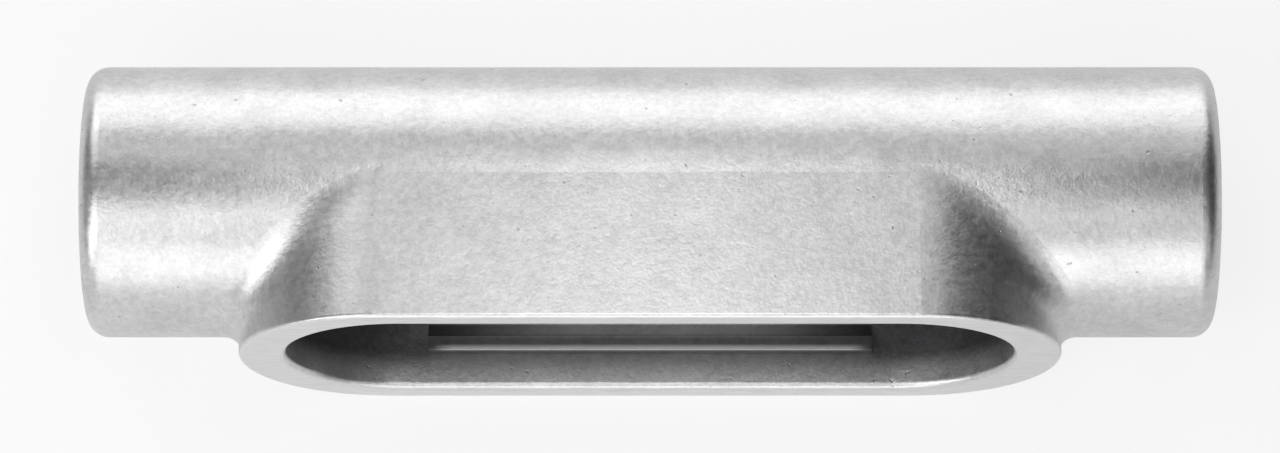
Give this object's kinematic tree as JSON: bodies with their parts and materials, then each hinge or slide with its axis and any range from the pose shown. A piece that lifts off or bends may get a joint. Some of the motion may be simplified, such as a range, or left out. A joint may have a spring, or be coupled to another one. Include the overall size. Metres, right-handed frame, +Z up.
{
  "type": "conduit body",
  "caption": "Straight-through cast conduit body: threaded hub at each end, hollow wiring space and an obround cover seat on one side.",
  "frame": {"origin": "on the surface it lies on, under the middle of its bounding box", "axes": "+X along the conduit run, -Y side holds the cover opening, +Z up; the casting lies on one side wall, so the cover seat's outward normal is -Y raised by 3.56 degrees"},
  "size_m": [0.1318, 0.0358, 0.0341],
  "materials": {
    "cast_metal": "matt sand-cast aluminium skin with a fine-ground cover seat"
  },
  "bodies": {
    "root": {"conduit_body": "cast_metal"}
  },
  "joints": []
}
